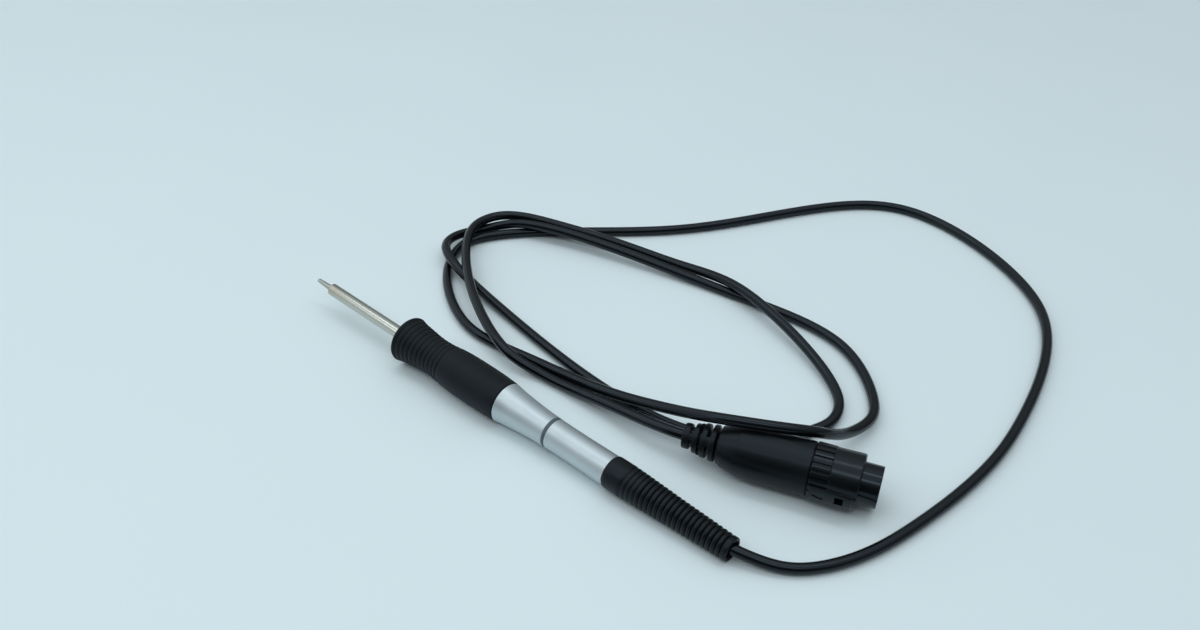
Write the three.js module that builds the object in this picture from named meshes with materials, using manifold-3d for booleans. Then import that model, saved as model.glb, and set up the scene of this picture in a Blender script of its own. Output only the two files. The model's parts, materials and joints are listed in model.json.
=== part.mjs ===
// A wood burning pen lying on a table, with its lead and round bayonet plug.
// Millimetres, +Z up. The origin is on the table under the middle of the pen, whose tip points to -X.
// The pen and the plug are each built along their own X axis and then laid in place by a group.

import * as THREE from 'three';
import { mergeVertices } from 'three/addons/utils/BufferGeometryUtils.js';
import Module from 'manifold-3d';

const wasm = await Module();
wasm.setup();

// ---------------------------------------------------------------- driving dimensions

const GAP = 0.3; // between pieces that touch
const ROUND = 28; // facets round a handle-sized piece
const MEDIUM_ROUND = 20;
const SMALL_ROUND = 12; // facets round a pin-sized piece

// Stations along the pen's axis. Zero is where the grip meets the sleeve, + is towards the lead.
const TIP_FRONT = -119;
const BARREL_FRONT = -110;
const GRIP_FRONT = -58.5;
const LIP_STATION = -57.8;
const GRIP_STEP = -49.5; // the guide bush sits ahead of this step in the grip's bore, the holder behind it
const BARREL_REAR = 20;
const BAND_FRONT = 24.6;
const HOLDER_REAR = 45;
const RELIEF_FRONT = 47;
const SLEEVE_REAR = 55.2;
const RELIEF_RINGS_FRONT = 64;
const RELIEF_NARROWS = 72;
const RELIEF_REAR = 110.6;

const TIP_RADIUS = 1.25;
const TIP_END_RADIUS = 0.8;
const TIP_END_THICKNESS = 1.15; // what the slanted cut leaves of the end
const TIP_BEVEL = 3.4; // length of the slanted cut
const TIP_BEVEL_DROP = 0.6; // how much nearer the axis the cut comes along that length
const TIP_ROLL = THREE.MathUtils.degToRad(-50); // which side the cut faces
const BARREL_RADIUS = 2.8;
const BARREL_BORE = 2.2;
const LIP_RADIUS = 10.2;
const GRIP_RADIUS = 9.15;
const GRIP_RIBS = 11;
const GRIP_RIB_LENGTH = 2.36;
const GRIP_RIB_DEPTH = 0.45;
const BUSH_RADIUS = 5;
const HOLDER_RADIUS = 6;
const HOLDER_WAIST = 4.9;
const SOCKET_BORE = 4;
const SLEEVE_BORE = 5.2;
const BAND_WIDTH = 1.5;
const BAND_SEAT = 5.9;
const BAND_RADIUS = 6.4;
const RELIEF_RADIUS = 6.6;
const RELIEF_END_RADIUS = 4.9;
const RELIEF_RINGS = 21;
const RELIEF_RING_DEPTH = 0.55;
const RELIEF_BORE = 2.7;
const RELIEF_MOUTH = 3.7;
const CORD_RADIUS = 2.2;
const LEAD_WIRES = 4;

// Stations along the plug's axis, from its front face backwards.
const PIN_FRONT = 1.6;
const RING_FRONT = 7;
const INSERT_FRONT = 7;
const PAD_FRONT = 8.5;
const SHROUD_REAR = 12;
const PIN_REAR = 15;
const FLUTES_FRONT = 17.8;
const PAD_REAR = 24;
const RING_REAR = 24.7;
const BODY_FRONT = 25.8;
const LEAD_SOCKET = 48; // where the body's bore narrows onto the lead
const BODY_REAR = 60;
const BOOT_REAR = 74.7;

const SHROUD_RADIUS = 8;
const SHROUD_BORE = 7;
const PIN_RADIUS = 0.65;
const PIN_CIRCLE = 4.2;
const PIN_PLACES = 6;
const PINS = PIN_PLACES - 1; // one place stays empty, under the key
const RING_RADIUS = 10.87;
const RING_BORE = 8.9;
const FLUTES = 24;
const FLUTE_DEPTH = 0.45;
const PAD_RADIUS = 11.45;
const PAD_HALF_ANGLE = THREE.MathUtils.degToRad(18.5);
const PAD_ROLL = THREE.MathUtils.degToRad(6);
const NECK_RADIUS = 8.3; // the body's neck, on which the ring turns
const NECK_BORE = 6.3;
const BODY_RADIUS = 10.6;
const BODY_EDGE_RADIUS = 10.2;
const BOOT_BORE = 3;
const BOOT_CORE = 4;
const PLUG_PLACE = [141.4, 54.2];
const PLUG_HEADING = THREE.MathUtils.degToRad(19.15);

// The pen lies on the grip's lip and on the end of the strain relief.
const PEN_TILT = Math.atan2(LIP_RADIUS - RELIEF_END_RADIUS, RELIEF_REAR - LIP_STATION - 1);
const PEN_HEIGHT = LIP_RADIUS * Math.cos(PEN_TILT) + LIP_STATION * Math.sin(PEN_TILT);
const PEN_MIDDLE = (TIP_FRONT + RELIEF_REAR) / 2;

// ---------------------------------------------------------------- solids

// A solid of revolution about X. The profile of [station, radius] closes on itself or on the axis.
function turned(profile, facets = ROUND) {
  const points = profile.map(([station, radius]) => new THREE.Vector2(radius, station));
  return new THREE.LatheGeometry(points, facets).rotateZ(-Math.PI / 2);
}

function rod(from, to, radius, facets = SMALL_ROUND) {
  return turned([[from, 0], [from, radius], [to, radius], [to, 0]], facets);
}

// A hollow turned piece: outer is listed from front to rear, inner from rear to front.
function sleeve(outer, inner, facets = ROUND) {
  return turned([...outer, ...inner, outer[0]], facets);
}

function ring(from, to, inner, outer, facets = ROUND) {
  return sleeve([[from, outer], [to, outer]], [[to, inner], [from, inner]], facets);
}

// A flat shape pushed along X from one station to another.
function pushed(shape, from, to, curveSegments = ROUND) {
  const settings = { depth: to - from, bevelEnabled: false, curveSegments };
  return new THREE.ExtrudeGeometry(shape, settings).rotateY(Math.PI / 2).translate(from, 0, 0);
}

function block(size, centre) {
  return new THREE.BoxGeometry(...size).translate(...centre);
}

// The radius of an outline, a curve of [station, radius], at one station.
function radiusOn(outline, station) {
  return outline.getPoints(90).find((point) => point.x >= station).y;
}

function toSolid(geometry) {
  const bare = geometry.clone();
  bare.deleteAttribute('normal');
  bare.deleteAttribute('uv');
  const merged = mergeVertices(bare, 1e-4);
  return new wasm.Manifold(new wasm.Mesh({
    numProp: 3,
    vertProperties: new Float32Array(merged.attributes.position.array),
    triVerts: new Uint32Array(merged.index.array),
  }));
}

function toGeometry(manifold) {
  const mesh = manifold.getMesh();
  const geometry = new THREE.BufferGeometry();
  geometry.setAttribute('position', new THREE.BufferAttribute(mesh.vertProperties, 3));
  geometry.setIndex(new THREE.BufferAttribute(mesh.triVerts, 1));
  geometry.computeVertexNormals();
  return geometry;
}

function joined(...geometries) {
  const whole = geometries.map(toSolid).reduce((sum, next) => sum.add(next));
  return toGeometry(whole);
}

function cut(geometry, ...tools) {
  const left = tools.map(toSolid).reduce((rest, tool) => rest.subtract(tool), toSolid(geometry));
  return toGeometry(left);
}

const FINISHES = {
  nickel: { color: 0xb9bdb8, roughness: 0.35, metalness: 1 },
  stainless: { color: 0xb4b3a8, roughness: 0.25, metalness: 1 },
  blackened: { color: 0x303136, roughness: 0.4, metalness: 1 },
  ceramic: { color: 0xe6e2d8, roughness: 0.6, metalness: 0 },
  copper: { color: 0xb87b4a, roughness: 0.35, metalness: 1 },
  brass: { color: 0xc9a85a, roughness: 0.3, metalness: 1 },
  rubber: { color: 0x1d1f22, roughness: 0.75, metalness: 0 },
  plastic: { color: 0x1a1c1f, roughness: 0.4, metalness: 0 },
  ivory: { color: 0xcfc7ae, roughness: 0.6, metalness: 0 },
  aluminium: { color: 0xccd6dd, roughness: 0.4, metalness: 1 },
  band: { color: 0x50626c, roughness: 0.5, metalness: 0 },
  board: { color: 0x2e5a3a, roughness: 0.6, metalness: 0 },
  jacket: { color: 0x15171a, roughness: 0.35, metalness: 0 },
};

function piece(name, geometry, finish) {
  const mesh = new THREE.Mesh(geometry, new THREE.MeshStandardMaterial(FINISHES[finish]));
  mesh.name = name;
  return mesh;
}

// ---------------------------------------------------------------- cartridge

// The tip is a taper cut off at a slant, on a thicker shank that is held in the tube.
function burningTip() {
  const shankRadius = BARREL_BORE - GAP;
  const shankFront = BARREL_FRONT + 1.9;
  const shankRear = BARREL_FRONT + 10;
  const body = turned([
    [TIP_FRONT, 0], [TIP_FRONT, TIP_END_RADIUS], [BARREL_FRONT + 0.4, TIP_RADIUS], [shankFront, TIP_RADIUS],
    [shankFront, shankRadius], [shankRear, shankRadius], [shankRear, 0],
  ], 16);
  const slant = Math.atan2(TIP_BEVEL_DROP, TIP_BEVEL);
  const slice = block([12, 6, 6], [0, 0, -3])
    .rotateY(slant)
    .translate(TIP_FRONT, 0, TIP_END_RADIUS - TIP_END_THICKNESS)
    .rotateX(TIP_ROLL);
  return cut(body, slice);
}

function barrelTube() {
  const mouth = TIP_RADIUS + GAP;
  const mouthRear = BARREL_FRONT + 1.5;
  const chamfer = 0.8;
  return sleeve(
    [[BARREL_FRONT, BARREL_RADIUS - chamfer], [BARREL_FRONT + chamfer, BARREL_RADIUS],
      [BARREL_REAR, BARREL_RADIUS]],
    [[BARREL_REAR, BARREL_BORE], [mouthRear, BARREL_BORE], [mouthRear, mouth], [BARREL_FRONT, mouth]],
    MEDIUM_ROUND,
  );
}

// The insulator plugs the tube's rear end with a collar, round the contact that carries the current.
function cartridgeInsulator() {
  const spigot = BARREL_BORE - GAP;
  const collar = BARREL_RADIUS - 0.2;
  const collarFront = BARREL_REAR + GAP;
  const bore = 0.9;
  return sleeve(
    [[14, spigot], [collarFront, spigot], [collarFront, collar], [22, collar]],
    [[22, bore], [14, bore]],
    SMALL_ROUND,
  );
}

function cartridge() {
  const group = new THREE.Group();
  group.add(
    piece('burning_tip', burningTip(), 'nickel'),
    piece('barrel_tube', barrelTube(), 'stainless'),
    piece('temperature_sensor', rod(-99.7, -94.8, 0.5), 'ceramic'),
    piece('heater_core', rod(-94.5, -62, 1.4), 'ceramic'),
    piece('heater_winding', ring(-92, -66, 1.7, 1.95, SMALL_ROUND), 'copper'),
    piece('cartridge_insulator', cartridgeInsulator(), 'ceramic'),
    piece('cartridge_contact', rod(10, 26, 0.6), 'brass'),
  );
  return group;
}

// ---------------------------------------------------------------- handle

// The outline of the grip: a flared lip, a waist for the finger and thumb, and a long swell.
const gripOutline = new THREE.SplineCurve([
  [LIP_STATION, LIP_RADIUS], [-56, 9.72], [-50, 8.95], [-41, 8.12], [-31, 8.78], [-18, 9.28],
  [-1, GRIP_RADIUS],
].map(([station, radius]) => new THREE.Vector2(station, radius)));

// The sleeve is widest at the grip and waisted behind the dark band.
const sleeveOutline = new THREE.SplineCurve([
  [GAP, 8.35], [5, 7.75], [12, 7.1], [22, 6.5], [36, 6.2], [SLEEVE_REAR, 6.35],
].map(([station, radius]) => new THREE.Vector2(station, radius)));

// Ribs run round the front of the grip, each a groove and a crest. Behind them the grip is smooth.
function rubberGrip() {
  const ribsFront = LIP_STATION + 1.6;
  const smoothFront = ribsFront + GRIP_RIBS * GRIP_RIB_LENGTH;
  const smoothRear = -2;
  const smoothSteps = 7;
  const outer = [[GRIP_FRONT, LIP_RADIUS - 0.7], [LIP_STATION, LIP_RADIUS]];
  for (let rib = 0; rib < GRIP_RIBS; rib += 1) {
    const groove = ribsFront + rib * GRIP_RIB_LENGTH;
    const crest = groove + GRIP_RIB_LENGTH / 2;
    outer.push([groove, radiusOn(gripOutline, groove) - GRIP_RIB_DEPTH]);
    outer.push([crest, radiusOn(gripOutline, crest)]);
  }
  for (let step = 0; step <= smoothSteps; step += 1) {
    const station = THREE.MathUtils.lerp(smoothFront, smoothRear, step / smoothSteps);
    outer.push([station, radiusOn(gripOutline, station)]);
  }
  outer.push([-0.4, GRIP_RADIUS], [0, GRIP_RADIUS - 0.4]);
  const bore = HOLDER_RADIUS + GAP;
  const bushBore = BUSH_RADIUS + GAP;
  return sleeve(outer, [[0, bore], [GRIP_STEP, bore], [GRIP_STEP, bushBore], [GRIP_FRONT, bushBore]]);
}

function innerHolder() {
  const front = GRIP_STEP + GAP;
  const bore = BARREL_RADIUS + GAP;
  const boreRear = BARREL_REAR + 2 * GAP;
  return sleeve(
    [[front, HOLDER_RADIUS], [-GAP, HOLDER_RADIUS], [-GAP, HOLDER_WAIST], [HOLDER_REAR, HOLDER_WAIST]],
    [[HOLDER_REAR, SOCKET_BORE], [boreRear, SOCKET_BORE], [boreRear, bore], [front, bore]],
    MEDIUM_ROUND,
  );
}

function aluminiumSleeve() {
  const outline = sleeveOutline.getPoints(14).map((point) => [point.x, point.y]);
  const body = sleeve(outline, [[SLEEVE_REAR, SLEEVE_BORE], [GAP, SLEEVE_BORE]]);
  return cut(body, ring(BAND_FRONT, BAND_FRONT + BAND_WIDTH, BAND_SEAT, 9));
}

function sleeveBand() {
  const play = 0.2;
  return ring(BAND_FRONT + play, BAND_FRONT + BAND_WIDTH - play, BAND_SEAT + play, BAND_RADIUS);
}

// A smooth collar, then rings that get smaller towards the end, then a short open mouth for the lead.
function strainRelief() {
  const collarFront = SLEEVE_REAR + GAP;
  const ringsRear = RELIEF_REAR - 2.7;
  const pitch = (ringsRear - RELIEF_RINGS_FRONT) / RELIEF_RINGS;
  const outer = [[RELIEF_FRONT, HOLDER_WAIST], [collarFront, HOLDER_WAIST], [collarFront, RELIEF_RADIUS]];
  for (let index = 0; index < RELIEF_RINGS; index += 1) {
    const groove = RELIEF_RINGS_FRONT + index * pitch;
    const crest = THREE.MathUtils.lerp(RELIEF_RADIUS, RELIEF_END_RADIUS, (index + 1) / RELIEF_RINGS);
    outer.push([groove, crest - RELIEF_RING_DEPTH], [groove + pitch / 2, crest]);
  }
  outer.push([ringsRear, RELIEF_END_RADIUS - RELIEF_RING_DEPTH]);
  outer.push([RELIEF_REAR - 1.6, RELIEF_END_RADIUS], [RELIEF_REAR, RELIEF_END_RADIUS - GAP]);
  const socket = SOCKET_BORE + GAP;
  const inner = [[RELIEF_REAR, RELIEF_MOUTH], [RELIEF_REAR - 4, RELIEF_BORE], [RELIEF_NARROWS, RELIEF_BORE],
    [RELIEF_NARROWS, socket], [RELIEF_FRONT, socket]];
  return sleeve(outer, inner, MEDIUM_ROUND);
}

function handle() {
  const group = new THREE.Group();
  const wirePitch = 1.4;
  group.add(
    piece('rubber_grip', rubberGrip(), 'rubber'),
    piece('guide_bush', ring(GRIP_FRONT + 0.5, GRIP_STEP - GAP, BARREL_RADIUS + GAP, BUSH_RADIUS), 'plastic'),
    piece('inner_holder', innerHolder(), 'plastic'),
    piece('contact_spring', ring(23, 33, 0.9, 1.5, SMALL_ROUND), 'brass'),
    piece('aluminium_sleeve', aluminiumSleeve(), 'aluminium'),
    piece('sleeve_band', sleeveBand(), 'band'),
    piece('terminal_board', block([18, 6.4, 1], [44, 0, 0]), 'board'),
    piece('cord_clamp', ring(66, 70, CORD_RADIUS + GAP, 3.6, SMALL_ROUND), 'stainless'),
    piece('lead_jacket', rod(62, 95.4, CORD_RADIUS), 'jacket'),
    piece('strain_relief', strainRelief(), 'rubber'),
  );
  for (let index = 0; index < LEAD_WIRES; index += 1) {
    const wire = rod(53.4, 61.6, 0.4, 8);
    wire.translate(0, (index - (LEAD_WIRES - 1) / 2) * wirePitch, 0);
    group.add(piece(`lead_wire_${index + 1}`, wire, 'copper'));
  }
  return group;
}

// ---------------------------------------------------------------- plug

// The plug's front faces +X, so its stations count down along X.
const at = (distance) => -distance;

function plugBody() {
  return sleeve(
    [[at(BODY_REAR), 7.4], [at(58), 8.35], [at(54.5), 9.55], [at(50), 10.25], [at(44), BODY_RADIUS],
      [at(BODY_FRONT + 0.4), BODY_RADIUS], [at(BODY_FRONT), BODY_EDGE_RADIUS], [at(BODY_FRONT), NECK_RADIUS],
      [at(SHROUD_REAR + GAP), NECK_RADIUS]],
    [[at(SHROUD_REAR + GAP), NECK_BORE], [at(LEAD_SOCKET), NECK_BORE], [at(LEAD_SOCKET), BOOT_BORE],
      [at(BODY_REAR), BOOT_BORE]],
  );
}

// The boot is a core tube with four rings. Neighbouring rings are bridged at the sides or at top and bottom.
function plugBoot() {
  const rings = [[61.5, 63.7, 7.2], [64.9, 67.1, 6.8], [68.3, 70.5, 5.9], [71.8, BOOT_REAR, 5.1]];
  const bridgeWidth = 2.6;
  const inside = (BOOT_BORE + BOOT_CORE) / 2;
  const core = ring(at(BOOT_REAR), at(BODY_REAR + GAP), BOOT_BORE, BOOT_CORE, MEDIUM_ROUND);
  const flanges = rings.map(([from, to, radius]) => ring(at(to), at(from), inside, radius, MEDIUM_ROUND));
  const bridges = rings.slice(1).map(([from, , radius], index) => {
    const length = from - rings[index][1] + 1;
    const middle = at((from + rings[index][1]) / 2);
    const reach = 2 * radius - 0.6;
    const size = index % 2 === 0 ? [length, reach, bridgeWidth] : [length, bridgeWidth, reach];
    return cut(block(size, [middle, 0, 0]), rod(middle - length, middle + length, inside));
  });
  return joined(core, ...flanges, ...bridges);
}

function fluted(from, to) {
  const pitch = (2 * Math.PI) / FLUTES;
  const valley = RING_RADIUS - FLUTE_DEPTH;
  const corners = [];
  for (let index = 0; index < FLUTES; index += 1) {
    [[0.14, RING_RADIUS], [0.86, RING_RADIUS], [0.93, valley], [1.07, valley]].forEach(([part, radius]) => {
      const angle = (index + part) * pitch;
      corners.push(new THREE.Vector2(radius * Math.cos(angle), radius * Math.sin(angle)));
    });
  }
  const shape = new THREE.Shape(corners);
  shape.holes.push(new THREE.Path().absarc(0, 0, RING_BORE, 0, 2 * Math.PI, true));
  return pushed(shape, from, to);
}

function pad(roll) {
  const shape = new THREE.Shape();
  const start = Math.PI / 2 - PAD_HALF_ANGLE;
  const end = Math.PI / 2 + PAD_HALF_ANGLE;
  shape.absarc(0, 0, PAD_RADIUS, start, end, false);
  shape.absarc(0, 0, (RING_BORE + RING_RADIUS) / 2, end, start, true);
  shape.closePath();
  return pushed(shape, at(PAD_REAR), at(PAD_FRONT), 4).rotateX(roll);
}

// The bayonet ring: fluted behind, smooth in front, with two raised pads, one of them with a window.
function lockingRing() {
  const seam = at(FLUTES_FRONT) - 0.1;
  const front = sleeve(
    [[seam, 10.6], [at(RING_FRONT + 0.6), 10.75], [at(RING_FRONT), 10.3]],
    [[at(RING_FRONT), RING_BORE], [seam, RING_BORE]],
  );
  const fluting = fluted(at(RING_REAR), at(FLUTES_FRONT));
  const window = block([3.1, 6, 3.6], [at(12.9), -RING_RADIUS, 0]).rotateX(PAD_ROLL);
  return cut(joined(front, fluting, pad(PAD_ROLL), pad(PAD_ROLL + Math.PI)), window);
}

// The shroud is a plain tube with a key inside it, at the top.
function plugShroud() {
  const shell = ring(at(SHROUD_REAR), 0, SHROUD_BORE, SHROUD_RADIUS);
  const key = block([5.8, 1.6, 1.8], [at(3.7), 0, SHROUD_BORE - 0.6]);
  return joined(shell, key);
}

// Moves a solid from the plug's axis to one of the places on the pin circle.
function toPinPlace(solid, index) {
  const angle = Math.PI / 2 + ((index + 1) * 2 * Math.PI) / PIN_PLACES;
  return solid.translate(0, PIN_CIRCLE * Math.cos(angle), PIN_CIRCLE * Math.sin(angle));
}

function contactPin(index) {
  const pin = turned([
    [at(PIN_REAR), 0], [at(PIN_REAR), PIN_RADIUS], [at(PIN_FRONT + 0.5), PIN_RADIUS],
    [at(PIN_FRONT), PIN_RADIUS / 2], [at(PIN_FRONT), 0],
  ], SMALL_ROUND);
  return toPinPlace(pin, index);
}

function contactInsert() {
  const disc = rod(at(SHROUD_REAR), at(INSERT_FRONT), SHROUD_BORE - GAP, ROUND);
  const holes = [];
  for (let index = 0; index < PINS; index += 1) {
    holes.push(toPinPlace(rod(at(SHROUD_REAR + 1), at(INSERT_FRONT - 1), PIN_RADIUS + GAP), index));
  }
  return cut(disc, ...holes);
}

function plug() {
  const group = new THREE.Group();
  group.add(
    piece('plug_shroud', plugShroud(), 'plastic'),
    piece('contact_insert', contactInsert(), 'ivory'),
    piece('locking_ring', lockingRing(), 'plastic'),
    piece('ring_retainer', ring(at(25.5), at(25), NECK_RADIUS + GAP, BODY_EDGE_RADIUS), 'blackened'),
    piece('plug_body', plugBody(), 'plastic'),
    piece('plug_lead_jacket', rod(at(59.6), at(43), CORD_RADIUS), 'jacket'),
    piece('plug_cord_clamp', ring(at(47), at(44), CORD_RADIUS + GAP, 5.9, SMALL_ROUND), 'stainless'),
    piece('plug_boot', plugBoot(), 'rubber'),
  );
  for (let index = 0; index < PINS; index += 1) {
    group.add(piece(`contact_pin_${index + 1}`, contactPin(index), 'brass'));
  }
  return group;
}

// ---------------------------------------------------------------- lead

// The lead's centreline, from inside the strain relief to inside the plug.
const CORD_ROUTE = [
  [100, 0, 5.3], [113.5, 0.2, 4.9], [132.5, 7.5, 2.5], [145.5, 22, 2.3], [156.5, 50.5, 2.3],
  [164.5, 121, 2.3], [138, 210, 2.3], [48.5, 243, 2.3], [-24, 152, 2.3], [-96.5, 79, 2.3],
  [-88, 53.5, 2.3], [-49.5, 29, 2.5], [-7, 31, 2.7], [30.5, 32.5, 7.1], [61.5, 35, 14.5],
  [86, 36.5, 23.2], [110, 51.7, 21.6], [117, 74.5, 8], [116, 98, 2.9], [83.5, 126, 2.6],
  [18.5, 124, 2.5], [-80.5, 101, 7.2], [-98.5, 88, 2.9], [-102.5, 71.5, 4.8], [-94.5, 59, 7.2],
  [-55.5, 49, 3], [67.5, 39, 2.8], [105.5, 77.5, 2.4], [99.5, 97, 2.5], [33, 125, 7.4],
  [-12, 126.5, 2.5], [-58.5, 113.5, 6.5], [-94, 99.5, 7.4], [-98.5, 82, 7.8], [-70.5, 50.5, 8.6],
  [-21.5, 24.5, 7.2], [1.5, 26.5, 2.7], [33, 27.5, 6.1], [67, 28.4, 10.9], [84.7, 34.5, 10.9],
];
const CORD_STEPS_PER_POINT = 2;

// A curve stepped evenly between its route points, so that its steps are short where the points are close.
class StagedPath extends THREE.CatmullRomCurve3 {
  getUtoTmapping(u) {
    return u;
  }
}

function cord() {
  const extrudePath = new StagedPath(CORD_ROUTE.map((point) => new THREE.Vector3(...point)));
  const round = new THREE.Path().absarc(0, 0, CORD_RADIUS, 0, 2 * Math.PI);
  const octagon = new THREE.Shape(round.getPoints(4).slice(1));
  const steps = CORD_STEPS_PER_POINT * (CORD_ROUTE.length - 1);
  return new THREE.ExtrudeGeometry(octagon, { steps, extrudePath });
}

// ---------------------------------------------------------------- the whole

const pen = new THREE.Group();
pen.add(cartridge(), handle());
pen.rotation.y = PEN_TILT;
pen.position.set(-PEN_MIDDLE * Math.cos(PEN_TILT), 0, PEN_HEIGHT);

const plugGroup = plug();
plugGroup.rotation.z = PLUG_HEADING;
plugGroup.position.set(...PLUG_PLACE, RING_RADIUS);

const group = new THREE.Group();
group.add(pen, plugGroup, piece('cord', cord(), 'jacket'));

export default group;
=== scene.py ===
# A wood burning pen that lies on a table with its lead and round bayonet plug.
# Profiles are in millimetres along and out from an axis. What is placed in the scene is in metres.

import json
import math

import bmesh
import bpy
from mathutils import Matrix, Vector


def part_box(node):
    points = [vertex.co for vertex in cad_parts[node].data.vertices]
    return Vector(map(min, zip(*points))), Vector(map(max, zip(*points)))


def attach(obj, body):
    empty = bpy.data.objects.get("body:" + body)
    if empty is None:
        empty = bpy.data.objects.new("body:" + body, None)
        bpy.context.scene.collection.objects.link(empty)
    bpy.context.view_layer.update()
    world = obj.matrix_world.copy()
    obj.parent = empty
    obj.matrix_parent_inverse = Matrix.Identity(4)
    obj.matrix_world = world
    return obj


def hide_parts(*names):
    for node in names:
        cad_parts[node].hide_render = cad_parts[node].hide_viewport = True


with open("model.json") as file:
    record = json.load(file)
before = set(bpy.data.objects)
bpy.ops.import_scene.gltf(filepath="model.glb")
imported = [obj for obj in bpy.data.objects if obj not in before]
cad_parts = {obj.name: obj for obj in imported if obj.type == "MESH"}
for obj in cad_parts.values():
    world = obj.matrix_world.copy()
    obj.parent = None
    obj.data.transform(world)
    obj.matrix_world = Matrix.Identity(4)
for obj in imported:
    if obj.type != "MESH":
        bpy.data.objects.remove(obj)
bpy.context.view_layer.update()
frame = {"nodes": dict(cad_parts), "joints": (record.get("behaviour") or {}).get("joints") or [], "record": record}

MM = 0.001
BODY_OF = {node: body for body, nodes in frame["record"]["behaviour"]["bodies"].items() for node in nodes}
SLOT_OF = {part["node"]: part["material_slot"] for part in frame["record"]["subparts"]}
JOINTS = {joint["name"]: joint for joint in frame["joints"]}

# ---------------------------------------------------------------- camera

CAMERA_PLACE = (0.23807, -0.21469, 0.300)
CAMERA_HEADING = (-0.6514, 0.7587)
CAMERA_DIP = math.radians(38.1)
LENS_MM = 32.1


def add_camera():
    level = math.cos(CAMERA_DIP)
    look = Vector((CAMERA_HEADING[0] * level, CAMERA_HEADING[1] * level, -math.sin(CAMERA_DIP)))
    camera = bpy.data.objects.new("camera", bpy.data.cameras.new("camera"))
    camera.data.lens = LENS_MM
    camera.data.sensor_width = 36.0
    camera.data.clip_start = 0.01
    camera.data.clip_end = 20.0
    camera.location = CAMERA_PLACE
    camera.rotation_mode = "QUATERNION"
    camera.rotation_quaternion = look.to_track_quat("-Z", "Y")
    bpy.context.scene.collection.objects.link(camera)
    bpy.context.scene.camera = camera


# ---------------------------------------------------------------- finishes


class Finish:
    """A procedural material, made node by node. Its coordinates are metres on the piece."""

    def __init__(self, name, **sockets):
        self.material = bpy.data.materials.new(name)
        self.material.use_nodes = True
        self.tree = self.material.node_tree
        self.shader = self.tree.nodes["Principled BSDF"]
        self.bumps = None
        for socket, value in sockets.items():
            self.shader.inputs[socket.replace("_", " ")].default_value = value

    def node(self, kind, **settings):
        made = self.tree.nodes.new(kind)
        for key, value in settings.items():
            setattr(made, key, value)
        return made

    def link(self, output, target):
        self.tree.links.new(output, target)

    def place(self, stretch=(1, 1, 1), source="Object"):
        coordinates = self.node("ShaderNodeTexCoord")
        mapping = self.node("ShaderNodeMapping")
        mapping.inputs["Scale"].default_value = stretch
        self.link(coordinates.outputs[source], mapping.inputs["Vector"])
        return mapping.outputs["Vector"]

    def noise(self, scale, detail=3.0, roughness=0.5, stretch=(1, 1, 1), source="Object"):
        texture = self.node("ShaderNodeTexNoise")
        texture.inputs["Scale"].default_value = scale
        texture.inputs["Detail"].default_value = detail
        texture.inputs["Roughness"].default_value = roughness
        self.link(self.place(stretch, source), texture.inputs["Vector"])
        return texture.outputs["Fac"]

    def axial(self):
        """The distance along the piece's own X axis, in metres."""
        split = self.node("ShaderNodeSeparateXYZ")
        self.link(self.place(), split.inputs["Vector"])
        return split.outputs["X"]

    def specks(self, scale, size, stretch=(1, 1, 1)):
        """Small sparse spots: 1 on a spot and 0 elsewhere."""
        cells = self.node("ShaderNodeTexVoronoi")
        cells.inputs["Scale"].default_value = scale
        self.link(self.place(stretch), cells.inputs["Vector"])
        spot = self.spread(cells.outputs["Distance"], 0.0, size, 1.0, 0.0)
        chosen = self.spread(self.noise(scale * 0.31, 0.0), 0.63, 0.66, 0.0, 1.0)
        return self.math("MULTIPLY", spot, chosen)

    def spread(self, value, low, high, to_low, to_high):
        made = self.node("ShaderNodeMapRange")
        made.inputs["From Min"].default_value = low
        made.inputs["From Max"].default_value = high
        made.inputs["To Min"].default_value = to_low
        made.inputs["To Max"].default_value = to_high
        self.link(value, made.inputs["Value"])
        return made.outputs["Result"]

    def math(self, operation, first, second):
        made = self.node("ShaderNodeMath", operation=operation)
        for socket, value in zip(made.inputs, (first, second)):
            if isinstance(value, (int, float)):
                socket.default_value = value
            else:
                self.link(value, socket)
        return made.outputs["Value"]

    def blend(self, fac, first, second):
        """A colour between two colours, each a tuple or a node's output."""
        made = self.node("ShaderNodeMix", data_type="RGBA")
        self.link(fac, made.inputs["Factor"])
        for socket, colour in ((made.inputs["A"], first), (made.inputs["B"], second)):
            if isinstance(colour, tuple):
                socket.default_value = (*colour, 1)
            else:
                self.link(colour, socket)
        return made.outputs["Result"]

    def colour(self, output):
        self.link(output, self.shader.inputs["Base Color"])

    def roughness(self, output):
        self.link(output, self.shader.inputs["Roughness"])

    def bump(self, height, strength, depth_mm):
        made = self.node("ShaderNodeBump")
        made.inputs["Strength"].default_value = strength
        made.inputs["Distance"].default_value = depth_mm * MM
        self.link(height, made.inputs["Height"])
        if self.bumps is not None:
            self.link(self.bumps, made.inputs["Normal"])
        self.bumps = made.outputs["Normal"]
        self.link(self.bumps, self.shader.inputs["Normal"])


# The cool cast of a reflection on black rubber and plastic.
COOL = (0.72, 0.87, 1.0, 1)


def rubber(name, dark, light, shine, shine_level, grain_mm=0.35, dust=0.15):
    """Black moulded rubber: a fine grain, cloudy sheen and a little dust."""
    finish = Finish(name, Specular_IOR_Level=shine_level, Specular_Tint=COOL)
    clouds = finish.noise(140, 4)
    grain = finish.noise(1 / (grain_mm * MM), 2)
    base = finish.blend(finish.spread(clouds, 0.35, 0.65, 0, 1), dark, light)
    dusty = finish.specks(700, 0.12)
    finish.colour(finish.blend(finish.math("MULTIPLY", dusty, dust), base, (0.35, 0.36, 0.36)))
    finish.roughness(finish.spread(clouds, 0.3, 0.7, shine - 0.05, shine + 0.07))
    finish.bump(grain, 0.35, 0.02)
    finish.bump(clouds, 0.2, 0.05)
    return finish.material


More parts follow.
